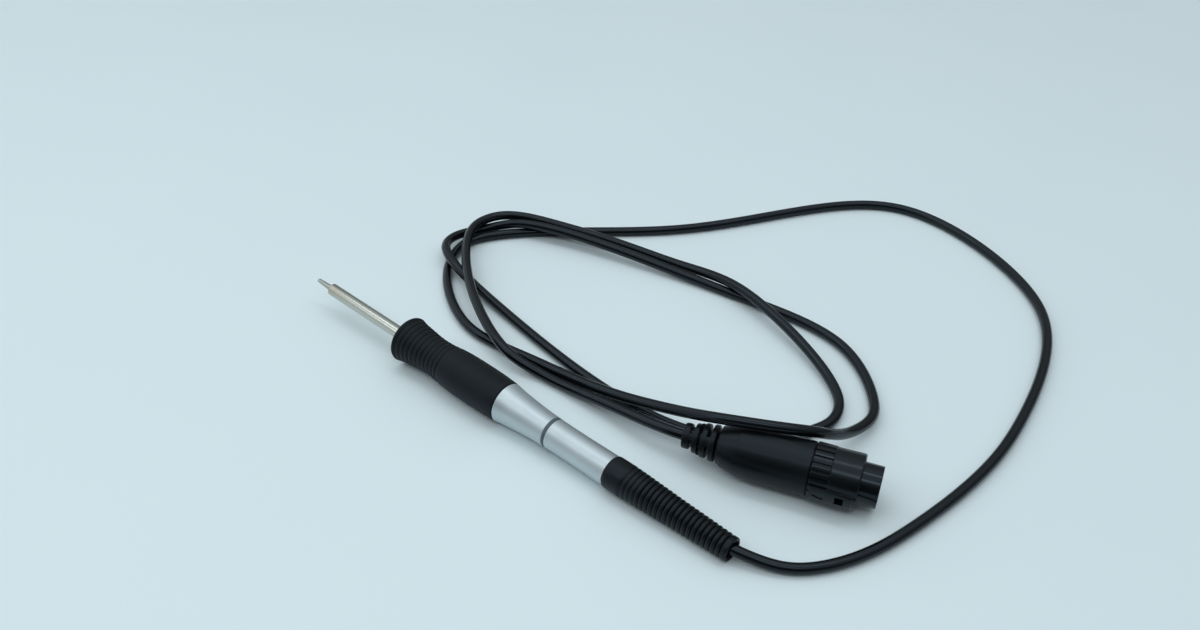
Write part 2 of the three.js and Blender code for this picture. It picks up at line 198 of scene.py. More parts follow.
def plastic(name, dark, light, shine, shine_level, scuffs=0.3):
    """Black moulded plastic: faint flow marks, fine spark-eroded grain, and hairline scuffs."""
    finish = Finish(name, Specular_IOR_Level=shine_level, Specular_Tint=COOL)
    flow = finish.noise(90, 3, stretch=(0.35, 1, 1))
    grain = finish.noise(3500, 2)
    hairs = finish.noise(420, 5, 0.7, stretch=(0.12, 1, 1))
    scuff = finish.spread(hairs, 0.62, 0.72, 0, scuffs)
    base = finish.blend(finish.spread(flow, 0.35, 0.65, 0, 1), dark, light)
    finish.colour(finish.blend(scuff, base, (0.03, 0.031, 0.033)))
    worn = finish.math("MULTIPLY", scuff, 0.2)
    finish.roughness(finish.math("ADD", finish.spread(flow, 0.3, 0.7, shine - 0.03, shine + 0.05), worn))
    finish.bump(grain, 0.25, 0.012)
    finish.bump(flow, 0.15, 0.06)
    return finish.material


def jacket(name):
    """The lead's soft jacket: smooth, with faint lengthwise drawing lines and a few specks of lint."""
    finish = Finish(name, Specular_IOR_Level=0.36, Specular_Tint=COOL)
    lines = finish.noise(30, 3, stretch=(4, 1.1, 1), source="UV")
    mottle = finish.noise(260, 3)
    streaks = finish.spread(lines, 0.35, 0.65, 0, 1)
    base = finish.blend(streaks, (0.002, 0.0023, 0.0027), (0.004, 0.0045, 0.0052))
    lint = finish.math("MULTIPLY", finish.specks(420, 0.06), 0.3)
    finish.colour(finish.blend(lint, base, (0.4, 0.4, 0.4)))
    finish.roughness(finish.spread(mottle, 0.3, 0.7, 0.15, 0.21))
    finish.bump(lines, 0.2, 0.02)
    finish.bump(mottle, 0.1, 0.01)
    return finish.material


def aluminium(name):
    """Satin anodised aluminium: a fine blasted grain, faint cloudiness and thin lengthwise rub marks."""
    finish = Finish(name, Metallic=0.86, Coat_Weight=0.12, Coat_Roughness=0.25)
    clouds = finish.noise(70, 4)
    grain = finish.noise(5200, 2)
    rubs = finish.noise(900, 4, 0.6, stretch=(0.04, 1, 1))
    base = finish.blend(finish.spread(clouds, 0.3, 0.7, 0, 1), (0.54, 0.592, 0.62), (0.58, 0.632, 0.655))
    finish.colour(finish.blend(finish.spread(rubs, 0.6, 0.75, 0, 0.25), base, (0.43, 0.47, 0.49)))
    finish.roughness(finish.spread(rubs, 0.3, 0.7, 0.42, 0.49))
    finish.bump(grain, 0.45, 0.008)
    finish.bump(rubs, 0.12, 0.006)
    return finish.material


def steel(name, base, heat_front=None):
    """Drawn stainless tube: long fine draw lines, and a straw tint where the tip's heat reaches it."""
    finish = Finish(name, Metallic=1.0)
    drawn = finish.noise(1500, 4, 0.6, stretch=(0.012, 1, 1))
    clouds = finish.noise(180, 3)
    plain = finish.blend(finish.spread(drawn, 0.35, 0.65, 0, 1), base, tuple(c * 0.92 for c in base))
    if heat_front is not None:
        warmth = finish.spread(finish.axial(), heat_front * MM, (heat_front + 16) * MM, 0.55, 0.0)
        stained = finish.math("MULTIPLY", warmth, finish.spread(clouds, 0.3, 0.7, 0.6, 1.0))
        plain = finish.blend(stained, plain, (0.46, 0.4, 0.28))
    finish.colour(plain)
    finish.roughness(finish.spread(drawn, 0.3, 0.7, 0.16, 0.22))
    finish.bump(drawn, 0.05, 0.004)
    finish.bump(clouds, 0.03, 0.01)
    return finish.material


def metal(name, light, dark, shine=0.3, grain=900):
    """Turned or plated metal with slight tarnish."""
    finish = Finish(name, Metallic=1.0)
    tarnish = finish.noise(grain, 4)
    turning = finish.noise(2600, 2, stretch=(1, 0.05, 0.05))
    finish.colour(finish.blend(finish.spread(tarnish, 0.35, 0.7, 0, 1), light, dark))
    finish.roughness(finish.spread(tarnish, 0.3, 0.7, shine - 0.06, shine + 0.1))
    finish.bump(turning, 0.25, 0.01)
    return finish.material


def mineral(name, light, dark, shine=0.6, grain=1800):
    """Ceramic, board or moulded insulator: matte, with a fine speckle."""
    finish = Finish(name)
    speckle = finish.noise(grain, 4)
    finish.colour(finish.blend(finish.spread(speckle, 0.35, 0.65, 0, 1), light, dark))
    finish.roughness(finish.spread(speckle, 0.3, 0.7, shine - 0.08, shine + 0.1))
    finish.bump(speckle, 0.3, 0.02)
    return finish.material


# A finish for each material slot of the record, and a glossier black for the locking ring.
FINISHES = {
    "nickel": metal("nickel", (0.55, 0.57, 0.54), (0.4, 0.41, 0.37), 0.22),
    "stainless": steel("stainless", (0.56, 0.56, 0.505), heat_front=-110),
    "blackened": metal("blackened", (0.02, 0.021, 0.023), (0.01, 0.01, 0.012), 0.4),
    "ceramic": mineral("ceramic", (0.8, 0.78, 0.72), (0.7, 0.67, 0.6)),
    "copper": metal("copper", (0.78, 0.42, 0.26), (0.55, 0.27, 0.16)),
    "brass": metal("brass", (0.83, 0.63, 0.32), (0.66, 0.48, 0.22), 0.22),
    "grip_rubber": rubber(
        "grip_rubber", (0.0058, 0.0068, 0.0078), (0.0095, 0.0108, 0.0122), shine=0.52, shine_level=0.2),
    "relief_rubber": rubber(
        "relief_rubber", (0.0035, 0.004, 0.0047), (0.006, 0.0068, 0.008),
        shine=0.38, shine_level=0.25, grain_mm=0.5, dust=0.08),
    "black_plastic": plastic(
        "black_plastic", (0.0026, 0.0031, 0.0037), (0.0045, 0.0052, 0.006),
        shine=0.36, shine_level=0.26, scuffs=0.2),
    "ring_black": plastic(
        "ring_black", (0.0026, 0.0031, 0.0037), (0.0045, 0.0052, 0.006),
        shine=0.21, shine_level=0.33, scuffs=0.2),
    "gloss_black": plastic(
        "gloss_black", (0.002, 0.0024, 0.0028), (0.0032, 0.0037, 0.0042),
        shine=0.16, shine_level=0.36, scuffs=0.12),
    "insert_ivory": mineral("insert_ivory", (0.5, 0.47, 0.38), (0.42, 0.39, 0.31), 0.5),
    "aluminium": aluminium("aluminium"),
    "band_grey": mineral("band_grey", (0.062, 0.088, 0.105), (0.085, 0.115, 0.132), 0.45, 2500),
    "board_green": mineral("board_green", (0.04, 0.16, 0.07), (0.03, 0.11, 0.05), 0.45),
    "lead_black": jacket("lead_black"),
}

# ---------------------------------------------------------------- meshes


def new_object(name, mesh, place=None):
    made = bpy.data.objects.new(name, mesh)
    bpy.context.scene.collection.objects.link(made)
    if place is not None:
        made.matrix_world = place
    return made


def finished(name, vertices, faces, place, sharp=32):
    """An object in the scene from vertices in metres, with its faces turned out and its creases kept."""
    mesh = bpy.data.meshes.new(name)
    mesh.from_pydata(vertices, [], faces)
    mesh.validate()
    shaped = bmesh.new()
    shaped.from_mesh(mesh)
    bmesh.ops.recalc_face_normals(shaped, faces=shaped.faces)
    shaped.to_mesh(mesh)
    shaped.free()
    smooth(mesh, sharp)
    return new_object(name, mesh, place)


def smooth(mesh, sharp=32):
    mesh.shade_smooth()
    mesh.set_sharp_from_angle(angle=math.radians(sharp))


def rounded(corners, radius=0.25, steps=3, closed=False):
    """The profile with its corners rounded, each by a short curve."""
    points = []
    count = len(corners)
    for index, corner in enumerate(corners):
        here = Vector(corner)
        if not closed and index in (0, count - 1):
            points.append(tuple(here))
            continue
        before = Vector(corners[index - 1]) - here
        after = Vector(corners[(index + 1) % count]) - here
        reach = min(radius, before.length * 0.45, after.length * 0.45)
        start = here + before.normalized() * reach
        end = here + after.normalized() * reach
        for step in range(steps + 1):
            part = step / steps
            points.append(tuple(start.lerp(here, part).lerp(here.lerp(end, part), part)))
    return points


def lathe(name, profile, place, facets=96, closed=True, sharp=32):
    """A solid turned about X. The profile of (station, radius) is closed, or ends on the axis."""
    vertices = []
    rings = []
    for station, radius in profile:
        if radius < 1e-6:
            rings.append([len(vertices)])
            vertices.append((station * MM, 0, 0))
            continue
        rings.append(list(range(len(vertices), len(vertices) + facets)))
        for facet in range(facets):
            turn = 2 * math.pi * facet / facets
            vertices.append((station * MM, -radius * MM * math.sin(turn), radius * MM * math.cos(turn)))
    faces = []
    pairs = list(zip(rings, rings[1:]))
    if closed:
        pairs.append((rings[-1], rings[0]))
    for near, far in pairs:
        for facet in range(facets):
            corner = [near[facet % len(near)], near[(facet + 1) % len(near)],
                      far[(facet + 1) % len(far)], far[facet % len(far)]]
            face = [v for index, v in enumerate(corner) if v not in corner[:index]]
            if len(face) > 2:
                faces.append(face)
    return finished(name, vertices, faces, place, sharp)


def tube(name, from_, to, inner, outer, place, edge=0.2, facets=96):
    corners = [(from_, outer), (to, outer), (to, inner), (from_, inner)]
    return lathe(name, rounded(corners, edge, closed=True), place, facets)


def shell(name, stations, turns, outer, inner, place, window=None, sharp=32):
    """A hollow piece on a grid of stations and turns. outer gives its radius at each, inner is a radius.

    window is (first station, last station, first turn, last turn) of a hole right through the wall.
    """
    columns = len(turns)
    vertices = []
    for radius_at in (outer, lambda station, turn: inner):
        for station in stations:
            for turn in turns:
                radius = radius_at(station, turn) * MM
                angle = math.radians(turn)
                vertices.append((station * MM, -radius * math.sin(angle), radius * math.cos(angle)))
    rows = len(stations)
    layer = rows * columns

    def inside(row, column):
        if window is None:
            return False
        first, last, low, high = window
        middle = (stations[row] + stations[row + 1]) / 2
        following = turns[column + 1] if column + 1 < columns else turns[0] + 360
        return first < middle < last and low < (turns[column] + following) / 2 < high

    faces = []
    for row in range(rows - 1):
        for column in range(columns):
            after = (column + 1) % columns
            corners = [row * columns + column, row * columns + after,
                       (row + 1) * columns + after, (row + 1) * columns + column]
            if not inside(row, column):
                faces.append(corners)
                faces.append([corner + layer for corner in reversed(corners)])
                continue
            sides = (
                (corners[0], corners[1], row > 0 and inside(row - 1, column)),
                (corners[2], corners[3], inside(row + 1, column)),
                (corners[1], corners[2], inside(row, after)),
                (corners[3], corners[0], inside(row, column - 1)),
            )
            faces.extend([a, b, b + layer, a + layer] for a, b, open_side in sides if not open_side)
    for row in (0, rows - 1):
        for column in range(columns):
            a = row * columns + column
            b = row * columns + (column + 1) % columns
            faces.append([a, b, b + layer, a + layer])
    return finished(name, vertices, faces, place, sharp)


def block(name, size, centre, place, edge=0.2):
    """A box with rounded edges, sizes and centre in mm."""
    shaped = bmesh.new()
    bmesh.ops.create_cube(shaped, size=1.0)
    bmesh.ops.scale(shaped, vec=Vector(size) * MM, verts=shaped.verts)
    bmesh.ops.translate(shaped, vec=Vector(centre) * MM, verts=shaped.verts)
    bmesh.ops.bevel(shaped, geom=shaped.edges[:], offset=edge * MM, segments=3, profile=0.5, affect="EDGES")
    mesh = bpy.data.meshes.new(name)
    shaped.to_mesh(mesh)
    shaped.free()
    smooth(mesh)
    return new_object(name, mesh, place)


def smoothstep(low, high, value):
    part = min(1.0, max(0.0, (value - low) / (high - low)))
    return part * part * (3 - 2 * part)


def on_curve(points, station):
    """The radius at a station on a smooth curve through (station, radius) points."""
    points = sorted(points)
    count = len(points)
    index = max(0, min(count - 2, sum(1 for s, _ in points if s <= station) - 1))
    (s0, r0), (s1, r1) = points[index], points[index + 1]

    def slope(at):
        low, high = max(0, at - 1), min(count - 1, at + 1)
        return (points[high][1] - points[low][1]) / (points[high][0] - points[low][0])

    span = s1 - s0
    t = (station - s0) / span
    start, end = slope(index) * span, slope(index + 1) * span
    return ((2 * t**3 - 3 * t**2 + 1) * r0 + (t**3 - 2 * t**2 + t) * start
            + (3 * t**2 - 2 * t**3) * r1 + (t**3 - t**2) * end)


def even(first, last, step):
    count = max(1, round(abs(last - first) / step))
    return [first + (last - first) * index / count for index in range(count + 1)]


def stand_for(piece, *nodes, finish=None):
    """Puts a piece in the place of CAD nodes, on the same body. Its finish is its slot's, or a named one."""
    slot = SLOT_OF[nodes[0]]
    piece.data.materials.append(FINISHES[finish or slot])
    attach(piece, BODY_OF[nodes[0]])
    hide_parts(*nodes)
    return piece


def settled(piece):
    """Moves the piece's place into its mesh, so that its box is its true one."""
    piece.data.transform(piece.matrix_world)
    piece.matrix_world = Matrix()
    return piece


def add_to(piece, node):
    """A small piece that goes with a CAD node's stand-in."""
    piece.data.materials.append(FINISHES[SLOT_OF[node]])
    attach(piece, BODY_OF[node])
    return piece


# ---------------------------------------------------------------- where the pen and the plug lie


def frame_along(axis, origin):
    """The matrix that lays a piece's own X along an axis, with its Y level."""
    x = Vector(axis).normalized()
    y = Vector((0, 0, 1)).cross(x).normalized()
    z = x.cross(y)
    turn = Matrix((x, y, z)).transposed().to_4x4()
    return Matrix.Translation(Vector(origin)) @ turn


def middle_of(node):
    low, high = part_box(node)
    return (low + high) / 2


# The contact is a plain rod on the pen's axis, with its middle at this station.
CONTACT_MIDDLE = 18
pen_axis = -Vector(JOINTS["cartridge_slide"]["axis"]).normalized()
PEN = frame_along(pen_axis, middle_of("cartridge_contact") - pen_axis * CONTACT_MIDDLE * MM)
PLUG = frame_along(JOINTS["locking_ring_turn"]["axis"], JOINTS["locking_ring_turn"]["pos_m"])

# ---------------------------------------------------------------- lead

LEAD_DIAMETER = 0.0044
LEAD_ROUTE = [
    (0.1000, 0.0000, 0.0053), (0.1135, 0.0002, 0.0049), (0.1325, 0.0075, 0.0025),
    (0.1455, 0.0220, 0.0023), (0.1565, 0.0505, 0.0023), (0.1645, 0.1210, 0.0023),
    (0.1380, 0.2100, 0.0023), (0.0485, 0.2430, 0.0023), (-0.0240, 0.1520, 0.0023),
    (-0.0965, 0.0790, 0.0023), (-0.0880, 0.0535, 0.0023), (-0.0495, 0.0290, 0.0025),
    (-0.0070, 0.0310, 0.0027), (0.0305, 0.0325, 0.0071), (0.0615, 0.0350, 0.0145),
    (0.0860, 0.0365, 0.0232), (0.1100, 0.0517, 0.0216), (0.1170, 0.0745, 0.0080),
    (0.1160, 0.0980, 0.0029), (0.0835, 0.1260, 0.0026), (0.0185, 0.1240, 0.0025),
    (-0.0805, 0.1010, 0.0072), (-0.0985, 0.0880, 0.0029), (-0.1025, 0.0715, 0.0048),
    (-0.0945, 0.0590, 0.0072), (-0.0555, 0.0490, 0.0030), (0.0675, 0.0390, 0.0028),
    (0.1055, 0.0775, 0.0024), (0.0995, 0.0970, 0.0025), (0.0330, 0.1250, 0.0074),
    (-0.0120, 0.1265, 0.0025), (-0.0585, 0.1135, 0.0065), (-0.0940, 0.0995, 0.0074),
    (-0.0985, 0.0820, 0.0078), (-0.0705, 0.0505, 0.0086), (-0.0215, 0.0245, 0.0072),
    (0.0015, 0.0265, 0.0027), (0.0330, 0.0275, 0.0061), (0.0670, 0.0284, 0.0109),
    (0.0847, 0.0345, 0.0109),
]
LEAD_STEPS = 28  # between two route points
LEAD_SIDES = 20


def route_line(route, steps):
    """Points on a centripetal Catmull-Rom curve through the route."""
    points = [Vector(p) for p in route]
    points = [2 * points[0] - points[1], *points, 2 * points[-1] - points[-2]]
    line = []
    for a, b, c, d in zip(points, points[1:], points[2:], points[3:]):
        t1 = (b - a).length ** 0.5
        t2 = t1 + (c - b).length ** 0.5
        t3 = t2 + (d - c).length ** 0.5
        for step in range(steps):
            t = t1 + (t2 - t1) * step / steps
            ab = a.lerp(b, t / t1)
            bc = b.lerp(c, (t - t1) / (t2 - t1))
            cd = c.lerp(d, (t - t2) / (t3 - t2))
            abc = ab.lerp(bc, t / t2)
            bcd = bc.lerp(cd, (t - t1) / (t3 - t1))
            line.append(abc.lerp(bcd, (t - t1) / (t2 - t1)))
    line.append(points[-2])
    return line


def eased(line, passes=24):
    """The same line with its small kinks relaxed, its ends kept, and never below where it can lie."""
    lowest = LEAD_DIAMETER / 2
    for _ in range(passes):
        line = [line[0], *((a + 2 * b + c) / 4 for a, b, c in zip(line, line[1:], line[2:])), line[-1]]
    return [Vector((p.x, p.y, max(p.z, lowest))) for p in line]


def add_lead():
    line = eased(route_line(LEAD_ROUTE, LEAD_STEPS))
    vertices = []
    lengths = [0.0]
    side = Vector((0, 0, 1))
    for index, point in enumerate(line):
        ahead = line[min(index + 1, len(line) - 1)] - line[max(index - 1, 0)]
        ahead.normalize()
        side = (side - ahead * side.dot(ahead)).normalized()
        across = ahead.cross(side)
        if index:
            lengths.append(lengths[-1] + (point - line[index - 1]).length)
        for facet in range(LEAD_SIDES):
            turn = 2 * math.pi * facet / LEAD_SIDES
            out = side * math.cos(turn) + across * math.sin(turn)
            vertices.append(point + out * LEAD_DIAMETER / 2)
    faces = []
    for ring in range(len(line) - 1):
        for facet in range(LEAD_SIDES):
            after = (facet + 1) % LEAD_SIDES
            a, b = ring * LEAD_SIDES + facet, ring * LEAD_SIDES + after
            faces.append([a, b, b + LEAD_SIDES, a + LEAD_SIDES])
    last = (len(line) - 1) * LEAD_SIDES
    faces.append(list(range(LEAD_SIDES)))
    faces.append(list(range(last, last + LEAD_SIDES)))
    lead = finished("lead", vertices, faces, None, 60)
    unwrapped = lead.data.uv_layers.new(name="along")
    for polygon in lead.data.polygons:
        facets = {lead.data.loops[i].vertex_index % LEAD_SIDES for i in polygon.loop_indices}
        wraps = facets >= {0, LEAD_SIDES - 1}
        for i in polygon.loop_indices:
            ring, facet = divmod(lead.data.loops[i].vertex_index, LEAD_SIDES)
            around = 1.0 if wraps and facet == 0 else facet / LEAD_SIDES
            unwrapped.data[i].uv = (lengths[ring], around)
    stand_for(lead, "cord")
    return lead, line


# ---------------------------------------------------------------- cartridge


def burning_tip():
    """A taper with a rounded end and a slanted cut. The shank behind it is held in the tube."""
    front, end_radius, radius = -119, 1.0, 1.4
    corners = [(front, 0), (front, end_radius), (-109.6, radius), (-108.1, radius),
               (-108.1, 1.9), (-100, 1.9), (-100, 0)]
    tip = lathe("tip_fine", rounded(corners, 0.45, 5), PEN, 64, closed=False)
    roll = Matrix.Rotation(math.radians(-50), 3, "X")
    slant = math.atan2(0.7, 9.0)
    away = roll @ Vector((-math.sin(slant), 0, -math.cos(slant)))
    through = roll @ Vector((front, 0, -0.65)) * MM
    shaped = bmesh.new()
    shaped.from_mesh(tip.data)
    cut = bmesh.ops.bisect_plane(
        shaped, geom=shaped.verts[:] + shaped.edges[:] + shaped.faces[:],
        plane_co=through, plane_no=away, clear_outer=True)
    rim = [edge for edge in cut["geom_cut"] if isinstance(edge, bmesh.types.BMEdge)]
    bmesh.ops.contextual_create(shaped, geom=rim)
    bmesh.ops.recalc_face_normals(shaped, faces=shaped.faces)
    shaped.to_mesh(tip.data)
    shaped.free()
    smooth(tip.data)
    return tip


def barrel_tube():
    mouth = 1.5
    outer = [(-110, mouth), (-110, 2.05), (-109.05, 2.8), (20, 2.8)]
    inner = [(20, 2.2), (-108.5, 2.2), (-108.5, mouth)]
    return lathe("barrel_fine", rounded(outer + inner, 0.35, 4, closed=True), PEN, 72)


def cartridge_insulator():
    corners = [(14, 1.9), (20.3, 1.9), (20.3, 2.6), (22, 2.6), (22, 0.9), (14, 0.9)]
    return lathe("insulator_fine", rounded(corners, 0.2, closed=True), PEN, 48)


def cartridge_contact():
    corners = [(10, 0), (10, 0.6), (25.4, 0.6), (26, 0.3), (26, 0)]
    return lathe("cartridge_contact_fine", rounded(corners, 0.15), PEN, 32, closed=False)


# ---------------------------------------------------------------- handle

GRIP_OUTLINE = [
    (-57.8, 10.2), (-56, 9.75), (-54, 9.4), (-51, 9.05), (-48, 8.7), (-45, 8.36), (-42, 8.16), (-39, 8.13),
    (-36, 8.24), (-33, 8.55), (-30, 8.86), (-27, 9.06), (-24, 9.17), (-18, 9.22), (-10, 9.15), (-5, 8.98),
    (0, 8.64),
]
GRIP_FIRST_GROOVE = -56.2
GRIP_GROOVES = 11
GRIP_PITCH = 2.36
GRIP_GROOVE_DEPTH = 0.42
SLEEVE_OUTLINE = [
    (0.3, 8.6), (2.5, 8.22), (5, 7.85), (12, 7.18), (17, 6.78), (22, 6.5), (30, 6.27), (40, 6.2),
    (55.2, 6.33),
]
SLEEVE_BORE = 5.2
BAND = (24.6, 26.1)
RELIEF_END = 110.6
RELIEF_OUTLINE = [
    (55.5, 6.6), (64, 6.6), (70, 6.4), (79, 6.02), (85, 5.74), (91, 5.52), (97, 5.34), (103, 5.12),
    (RELIEF_END, 4.85),
]
RELIEF_FIRST_GROOVE = 64.0
RELIEF_GROOVES = 22
RELIEF_PITCH = 2.09
RELIEF_FULL_DEPTH_FROM = 4  # the first grooves, next to the collar, are shallower


def ribbed(outline, first, grooves, pitch, depth, samples, sharpness):
    """Points of an outline with rounded ribs, parted by a narrow groove at each pitch.

    depth gives a groove's depth from its number. A lower sharpness makes the grooves narrower.
    """
    points = []
    for index in range(grooves):
        for sample in range(samples):
            part = sample / samples
            station = first + (index + part) * pitch
            nearer = index if part < 0.5 else index + 1
            narrow = 1 - math.sin(math.pi * part) ** sharpness
            if nearer >= grooves:
                narrow = 0
            points.append((station, on_curve(outline, station) - depth(nearer) * narrow))
    return points


def rubber_grip():
    ribs_end = GRIP_FIRST_GROOVE + GRIP_GROOVES * GRIP_PITCH
    face = [(-58.5, 5.3), (-58.5, 8.9), (-58.42, 9.35), (-58.2, 9.72), (-57.9, 10.0), (-57.5, 10.12),
            (-57.1, 10.02), (-56.7, 9.8)]
    ribs = ribbed(
        GRIP_OUTLINE, GRIP_FIRST_GROOVE, GRIP_GROOVES, GRIP_PITCH,
        depth=lambda groove: GRIP_GROOVE_DEPTH, samples=14, sharpness=0.62)
    swell = [(s, on_curve(GRIP_OUTLINE, s)) for s in even(ribs_end, -0.5, 1.0)]
    rear = [(-0.2, 8.6), (-0.05, 8.52), (0, 8.38), (0, 6.3), (-49.5, 6.3), (-49.5, 5.3)]
    return lathe("grip_fine", face + ribs + swell + rear, PEN, 128, sharp=50)


def guide_bush():
    corners = [(-58, 5.0), (-49.8, 5.0), (-49.8, 3.1), (-58, 3.1)]
    return lathe("bush_fine", rounded(corners, 0.35, closed=True), PEN, 72)


def aluminium_sleeve():
    front, rear = BAND
    edge = 0.12
    floor = 5.9
    before = [(s, on_curve(SLEEVE_OUTLINE, s)) for s in even(0.45, front - edge, 1.2)]
    after = [(s, on_curve(SLEEVE_OUTLINE, s)) for s in even(rear + edge, 55.05, 1.2)]
    groove = [(front, on_curve(SLEEVE_OUTLINE, front) - edge), (front, floor), (rear, floor),
              (rear, on_curve(SLEEVE_OUTLINE, rear) - edge)]
    ends = [(55.2, 6.15), (55.2, SLEEVE_BORE), (0.3, SLEEVE_BORE), (0.3, 8.42)]
    return lathe("sleeve_fine", before + groove + after + ends, PEN, 128)


def sleeve_band():
    front, rear = BAND
    return tube("band_fine", front + 0.08, rear - 0.08, 5.95, 6.38, PEN, 0.1, 128)


def strain_relief():
    """A smooth collar, then ribs parted by narrow grooves, then an open mouth."""
    first = RELIEF_FIRST_GROOVE
    collar = [(55.5, 4.9), (55.5, 6.35), (55.62, 6.53), (55.85, 6.6)]
    collar += [(s, on_curve(RELIEF_OUTLINE, s)) for s in even(57, first - 0.7, 1.0)]

    def depth(groove):
        return 0.45 if groove < RELIEF_FULL_DEPTH_FROM else 0.8

    ribs = ribbed(RELIEF_OUTLINE, first, RELIEF_GROOVES, RELIEF_PITCH, depth, samples=12, sharpness=0.5)
    ribs = [point for point in ribs if point[0] < 109.8]
    mouth = [(110.1, 4.86), (110.42, 4.74), (RELIEF_END, 4.45), (RELIEF_END, 4.0), (110.3, 3.72),
             (108.6, 3.25), (106.6, 2.7), (72, 2.7), (72, 4.3), (47, 4.3), (47, 4.9)]
    return lathe("relief_fine", collar + ribs + mouth, PEN, 112, sharp=55)


# ---------------------------------------------------------------- plug


def at(distance):
    """A distance back from the plug's front face, as a station on its X axis, which faces forwards."""
    return -distance


def apart(turn, other):
    """The angle between two turns, from 0 to 180 degrees."""
    return abs((turn - other + 180) % 360 - 180)


def fine_steps(*features, coarse, first, last):
    """Values from first to last by a coarse step, with a few close ones at each feature."""
    values = set(round(v, 4) for v in even(first, last, coarse))
    for feature, reach in features:
        values.update(round(feature + reach * part, 4) for part in (-1, -0.5, 0, 0.5, 1))
    kept = []
    for value in sorted(v for v in values if first <= v <= last):
        if not kept or value - kept[-1] > 0.02:
            kept.append(value)
    return kept


BODY_OUTLINE = [(26.2, 10.6), (44, 10.6), (49, 10.38), (52.4, 10.0), (54.8, 9.45), (58, 8.4), (60.5, 7.35)]
BODY_FRONT = 25.35
BODY_REAR = 60.5
SEAM_END = 25.75  # where the rounding behind the seam ends
REAR_EDGE = 60.2  # where the rounding of the rear edge starts
FLAT_MIDDLE = 17.5  # degrees
FLAT_START = 26
FLAT_REAR = 53.0
FLAT_RADIUS = 10.2  # from the plug's axis to the flat, at its start
FLAT_FALL = 0.65


def plug_body():
    """A taper with a flat let into it on each side, from the seam to a square end."""
    features = ((25.7, 0.3), (FLAT_REAR, 0.2), (60.25, 0.25))
    stations = [at(d) for d in fine_steps(*features, coarse=0.6, first=BODY_FRONT, last=BODY_REAR)]
    turns = even(0, 358.5, 1.5)

    def outer(station, turn):
        distance = -station
        radius = on_curve(BODY_OUTLINE, max(BODY_OUTLINE[0][0], distance))
        if distance < SEAM_END:
            radius -= 0.3 * (1 - math.sqrt(max(0.0, 1 - ((SEAM_END - distance) / 0.42) ** 2)))
        if distance > REAR_EDGE:
            radius -= 0.25 * ((distance - REAR_EDGE) / 0.3) ** 2
        if distance < FLAT_REAR:
            flat = FLAT_RADIUS - FLAT_FALL * (distance - FLAT_START) / (FLAT_REAR - FLAT_START)
            for middle in (FLAT_MIDDLE, FLAT_MIDDLE + 180):
                away = apart(turn, middle)
                if away < 40:
                    radius += 0.5 * min(0.0, flat / math.cos(math.radians(away)) - radius)
        return radius

    body = shell("plug_body_fine", sorted(stations), turns, outer, 6.3, PLUG, sharp=14)
    neck = tube("plug_neck_fine", at(26.0), at(12.3), 6.3, 8.3, PLUG)
    rear = tube("plug_body_rear_fine", at(60.0), at(57), 3.0, 7.0, PLUG)
    return body, neck, rear


# Along the plug in mm from its front face, and round it in degrees.
RING = (7.0, 24.95)
RING_BORE = 8.9
RING_FRONT_RADIUS = 10.62
FLUTES = 24
FLUTES_FROM = 17.9
FLUTED_RADIUS = 10.79
FLUTE_DEPTH = 0.62
PAD = (8.5, 24.0)
PAD_MIDDLES = (96.0, 276.0)
PAD_HALF = 18.5
PAD_RADIUS = 11.42
WINDOW = (11.35, 14.45)
WINDOW_HALF = 9.2
MARK = (18.9, 23.3)
MARK_HALF_WIDTH = 1.5
MARK_DEPTH = 0.4


def ring_turns():
    """The turns of the ring's grid, close at the grooves, pads, window and mark."""
    pitch = 360 / FLUTES
    marked = PAD_MIDDLES[0]
    turns = set()
    for flute in range(FLUTES):
        turns.update(round(flute * pitch + step, 3) for step in
                     (-1.9, -1.5, -1.1, -0.7, 0, 0.7, 1.1, 1.5, 1.9, 3.0, 5.2, 7.5, 9.8, 12.0))
    for middle in PAD_MIDDLES:
        for edge in (middle - PAD_HALF, middle + PAD_HALF):
            turns.update(round(edge + step, 3) for step in (-0.7, -0.35, 0, 0.35, 0.7))
    for edge in (marked - WINDOW_HALF, marked + WINDOW_HALF):
        turns.update(round(edge + step, 3) for step in (-0.6, 0, 0.6))
    turns.update(round(marked - 9 + step * 1.2, 3) for step in range(16))
    kept = []
    for turn in sorted(turn % 360 for turn in turns):
        if not kept or turn - kept[-1] > 0.18:
            kept.append(turn)
    return kept


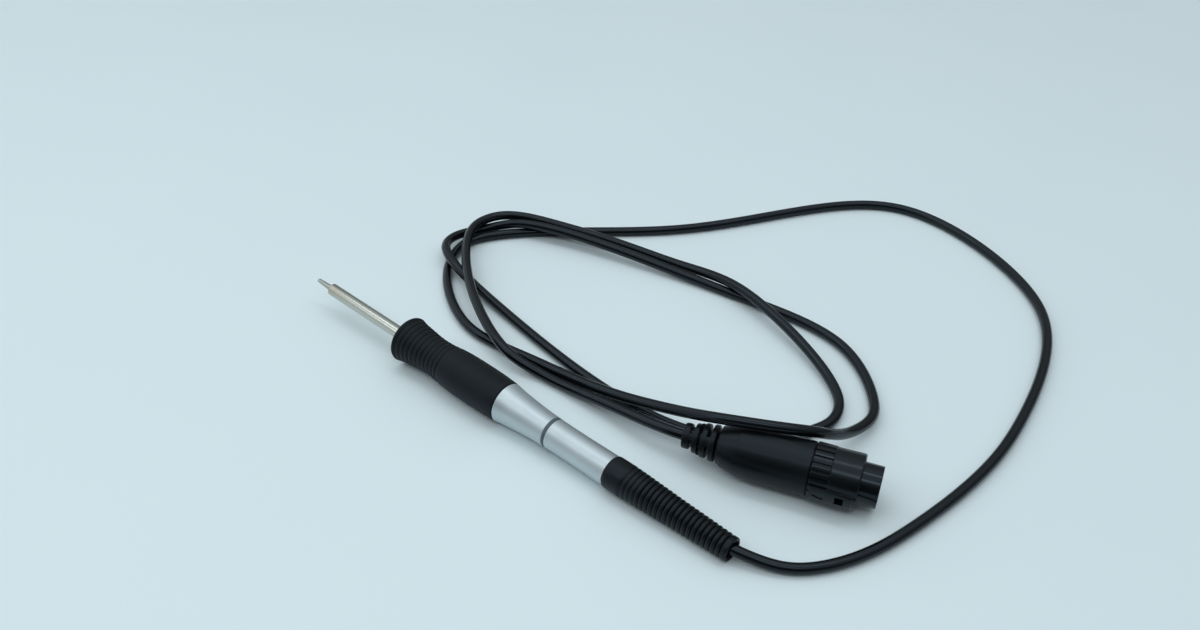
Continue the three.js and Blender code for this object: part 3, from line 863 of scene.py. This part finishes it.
def locking_ring():
    """The bayonet ring: smooth in front, fluted behind, with two raised pads, a window and a plain mark."""
    pitch = 360 / FLUTES
    marked = PAD_MIDDLES[0]
    features = ((7.3, 0.3), (PAD[0], 0.3), (FLUTES_FROM, 0.35), (PAD[1], 0.3), (24.75, 0.2),
                (WINDOW[0], 0.2), (WINDOW[1], 0.2))
    distances = fine_steps(*features, coarse=0.5, first=RING[0], last=RING[1])

    def outer(station, turn):
        distance = -station
        front = RING_FRONT_RADIUS + 0.12 * smoothstep(17, 8, distance)
        fluted = smoothstep(FLUTES_FROM - 0.3, FLUTES_FROM + 0.3, distance)
        from_groove = abs((turn + pitch / 2) % pitch - pitch / 2)
        groove = FLUTE_DEPTH * smoothstep(1.9, 0.7, from_groove)
        crown = 0.12 * (from_groove / (pitch / 2)) ** 2
        radius = front * (1 - fluted) + (FLUTED_RADIUS + crown - groove) * fluted
        from_pad = min(apart(turn, middle) for middle in PAD_MIDDLES)
        raised = smoothstep(PAD_HALF + 0.6, PAD_HALF - 0.3, from_pad)
        raised *= smoothstep(PAD[0] - 0.25, PAD[0] + 0.2, distance)
        raised *= smoothstep(PAD[1] + 0.25, PAD[1] - 0.15, distance)
        radius += (PAD_RADIUS - radius) * raised
        # A small plain triangle on the pad with the window.
        if MARK[0] < distance < MARK[1] and abs(turn - marked) < 12:
            half = MARK_HALF_WIDTH * (MARK[1] - distance) / (MARK[1] - MARK[0])
            aside = abs(turn - marked) * math.pi / 180 * radius
            radius -= MARK_DEPTH * smoothstep(half + 0.12, half - 0.18, aside)
        # The rounded front edge, and the chamfer at the rear.
        radius -= 0.45 * (1 - math.sqrt(max(0.0, 1 - (max(0.0, 7.6 - distance) / 0.62) ** 2)))
        radius -= 0.25 * smoothstep(24.7, 25.0, distance)
        return radius

    window = (at(WINDOW[1]), at(WINDOW[0]), marked - WINDOW_HALF, marked + WINDOW_HALF)
    stations = sorted(at(d) for d in distances)
    return shell("locking_ring_fine", stations, ring_turns(), outer, RING_BORE, PLUG, window, sharp=38)


def ring_retainer():
    return tube("ring_retainer_fine", at(25.3), at(25.02), 8.6, 9.9, PLUG, 0.08)


def plug_shroud():
    outer = [(at(12), 8.0), (0, 8.0), (0, 7.0), (at(12), 7.0)]
    shroud = lathe("shroud_fine", rounded(outer, 0.28, 4, closed=True), PLUG, 128)
    key = block("shroud_key_fine", (5.6, 1.6, 1.7), (at(3.7), 0, 6.35), PLUG, 0.3)
    return shroud, key


PIN_CIRCLE = 4.2
PIN_PLACES = 6


def pin_place(index):
    turn = math.pi / 2 + (index + 1) * 2 * math.pi / PIN_PLACES
    return Vector((0, PIN_CIRCLE * math.cos(turn), PIN_CIRCLE * math.sin(turn))) * MM


def contact_insert():
    """A disc with a raised rim and a round boss about each pin."""
    corners = [(at(12), 0), (at(12), 6.7), (at(7), 6.7), (at(7), 6.1), (at(7.4), 5.95), (at(7.4), 0)]
    disc = lathe("insert_fine", rounded(corners, 0.2), PLUG, 96, closed=False)
    bosses = []
    for index in range(PIN_PLACES - 1):
        place = PLUG @ Matrix.Translation(pin_place(index))
        bosses.append(tube(f"insert_boss_{index + 1}", at(8), at(7.0), 0.72, 1.25, place, 0.15, 40))
    return disc, bosses


def contact_pin(index):
    corners = [(at(15), 0), (at(15), 0.65), (at(2.2), 0.65), (at(1.6), 0.25), (at(1.6), 0)]
    place = PLUG @ Matrix.Translation(pin_place(index))
    return lathe(f"pin_{index + 1}_fine", rounded(corners, 0.2), place, 32, closed=False)


BOOT_RINGS = [(61.5, 63.7, 7.15), (64.9, 67.1, 6.75), (68.3, 70.5, 5.85), (71.8, 74.7, 5.05)]
BOOT_CORE = 4.0
BOOT_BRIDGES = ((48, 228), (138, 318))  # the turns of the bridges behind even and odd rings


def plug_boot():
    """The slotted boot: four rings on a core, with neighbours bridged at the sides or at top and bottom."""
    features = [(61.5, 0.35), (74.6, 0.3)]
    for from_, to, _ in BOOT_RINGS:
        features += [(from_, 0.3), (to, 0.3)]
    distances = fine_steps(*features, coarse=0.4, first=60.3, last=74.7)
    turns = even(0, 357, 3.0)

    def outer(station, turn):
        distance = -station
        radius = BOOT_CORE
        for from_, to, ring_radius in BOOT_RINGS:
            inside = smoothstep(from_ - 0.12, from_ + 0.1, distance)
            inside *= smoothstep(to + 0.12, to - 0.1, distance)
            middle = (from_ + to) / 2
            crown = ring_radius - 0.35 * (abs(distance - middle) / ((to - from_) / 2)) ** 4
            radius = max(radius, BOOT_CORE + (crown - BOOT_CORE) * inside)
        for index in range(3):
            _, end, _ = BOOT_RINGS[index]
            start, _, ring_radius = BOOT_RINGS[index + 1]
            if end - 0.3 < distance < start + 0.3:
                away = min(apart(turn, side) for side in BOOT_BRIDGES[index % 2])
                top = (BOOT_RINGS[index][2] + ring_radius) / 2 - 0.1
                radius = max(radius, BOOT_CORE + (top - BOOT_CORE) * smoothstep(19, 16, away))
        return radius

    return shell("boot_fine", [at(d) for d in distances], turns, outer, 3.0, PLUG, sharp=40)


# ---------------------------------------------------------------- stage


def add_floor():
    """A plain pale tabletop that reaches far past every view."""
    half = 20.0
    corners = [(-half, -half, 0), (half, -half, 0), (half, half, 0), (-half, half, 0)]
    mesh = bpy.data.meshes.new("floor")
    mesh.from_pydata(corners, [], [(0, 1, 2, 3)])
    finish = Finish("floor", Specular_IOR_Level=0.25)
    cloud = finish.noise(9, 3)
    grain = finish.noise(1500, 2)
    finish.colour(finish.blend(cloud, (0.81, 0.90, 0.925), (0.83, 0.915, 0.935)))
    finish.roughness(finish.spread(cloud, 0.3, 0.7, 0.5, 0.6))
    finish.bump(grain, 0.1, 0.02)
    floor = new_object("floor", mesh)
    floor.data.materials.append(finish.material)


LAMPS_TURN = math.radians(21)
LAMPS_COLOUR = (0.9, 0.98, 1.0)


def add_area_light(name, place, size, power):
    """A long soft lamp that faces straight down."""
    light = bpy.data.lights.new(name, "AREA")
    light.shape = "RECTANGLE"
    light.size, light.size_y = size
    light.energy = power
    light.color = LAMPS_COLOUR
    lamp = new_object(name, light)
    lamp.location = place
    lamp.rotation_euler = (0, 0, LAMPS_TURN)


# The sky's level at a height, from the horizon (0) to straight overhead (1).
SKY_LEVELS = [(0.0, 0.1), (0.3, 0.26), (0.5, 0.36), (0.62, 0.46), (0.71, 0.6), (0.85, 0.85), (1.0, 0.95)]
DIM_SIDE = (0.5, -0.85, 0)
PALE_WALL = (-0.9, -0.3, 0)
SKY_TINT = (0.88, 0.97, 1.02)
BACKDROP = (0.51, 0.61, 0.66, 1)


def add_sky():
    """Soft light from overhead, a paler wall low on the left, and a dim room on the near right."""
    world = bpy.data.worlds.new("studio")
    bpy.context.scene.world = world
    world.use_nodes = True
    tree = world.node_tree

    def node(kind, **settings):
        made = tree.nodes.new(kind)
        for key, value in settings.items():
            setattr(made, key, value)
        return made

    def towards(direction, from_, to, level):
        """A level that rises from nothing as the sky nears a direction."""
        nearness = node("ShaderNodeVectorMath", operation="DOT_PRODUCT")
        nearness.inputs[1].default_value = direction
        rise = node("ShaderNodeMapRange", interpolation_type="SMOOTHSTEP")
        rise.inputs["From Min"].default_value = from_
        rise.inputs["From Max"].default_value = to
        rise.inputs["To Max"].default_value = level
        tree.links.new(coordinates.outputs["Generated"], nearness.inputs[0])
        tree.links.new(nearness.outputs["Value"], rise.inputs["Value"])
        return rise.outputs["Result"]

    def combined(operation, first, second):
        made = node("ShaderNodeMath", operation=operation)
        for socket, value in zip(made.inputs, (first, second)):
            if isinstance(value, float):
                socket.default_value = value
            else:
                tree.links.new(value, socket)
        return made.outputs["Value"]

    background = tree.nodes["Background"]
    coordinates = node("ShaderNodeTexCoord")
    split = node("ShaderNodeSeparateXYZ")
    overhead = node("ShaderNodeValToRGB")
    elements = overhead.color_ramp.elements
    while len(elements) < len(SKY_LEVELS):
        elements.new(0.5)
    for element, (place, level) in zip(elements, SKY_LEVELS):
        element.position = place
        element.color = (level, level, level, 1)
    tree.links.new(coordinates.outputs["Generated"], split.inputs["Vector"])
    tree.links.new(split.outputs["Z"], overhead.inputs["Fac"])
    lit = combined("SUBTRACT", 1.0, towards(DIM_SIDE, 0.35, 0.9, 0.75))
    level = combined("MULTIPLY", overhead.outputs["Color"], lit)
    level = combined("ADD", level, towards(PALE_WALL, 0.52, 0.68, 0.45))
    tinted = node("ShaderNodeVectorMath", operation="SCALE")
    tinted.inputs[0].default_value = SKY_TINT
    seen = node("ShaderNodeLightPath")
    pale = node("ShaderNodeMix", data_type="RGBA")
    pale.inputs["B"].default_value = BACKDROP
    tree.links.new(level, tinted.inputs["Scale"])
    tree.links.new(seen.outputs["Is Camera Ray"], pale.inputs["Factor"])
    tree.links.new(tinted.outputs["Vector"], pale.inputs["A"])
    tree.links.new(pale.outputs["Result"], background.inputs["Color"])
    background.inputs["Strength"].default_value = 1.05


# ---------------------------------------------------------------- the whole

add_camera()
lead, lead_line = add_lead()

stand_for(burning_tip(), "burning_tip")
stand_for(barrel_tube(), "barrel_tube")
stand_for(cartridge_insulator(), "cartridge_insulator")
stand_for(cartridge_contact(), "cartridge_contact")

stand_for(settled(rubber_grip()), "rubber_grip")
stand_for(guide_bush(), "guide_bush")
stand_for(settled(aluminium_sleeve()), "aluminium_sleeve")
stand_for(sleeve_band(), "sleeve_band")
stand_for(settled(strain_relief()), "strain_relief")

body, neck, rear = plug_body()
shroud, key = plug_shroud()
disc, bosses = contact_insert()
plug_pieces = [
    stand_for(body, "plug_body"),
    add_to(neck, "plug_body"),
    add_to(rear, "plug_body"),
    stand_for(locking_ring(), "locking_ring", finish="ring_black"),
    stand_for(ring_retainer(), "ring_retainer"),
    stand_for(shroud, "plug_shroud"),
    add_to(key, "plug_shroud"),
    stand_for(disc, "contact_insert"),
    stand_for(plug_boot(), "plug_boot"),
]
plug_pieces += [add_to(boss, "contact_insert") for boss in bosses]
plug_pieces += [stand_for(contact_pin(index), f"contact_pin_{index + 1}") for index in range(PIN_PLACES - 1)]

for name, node in frame["nodes"].items():
    if not node.hide_render:
        node.data.materials.clear()
        node.data.materials.append(FINISHES[SLOT_OF[name]])

add_floor()
add_sky()
add_area_light("lamp_over", place=(-0.20, 0.10, 0.80), size=(1.2, 0.10), power=0.95)
add_area_light("lamp_near", place=(-0.20, -0.48, 0.70), size=(1.6, 0.12), power=1.35)
bpy.context.scene.view_settings.view_transform = "Standard"
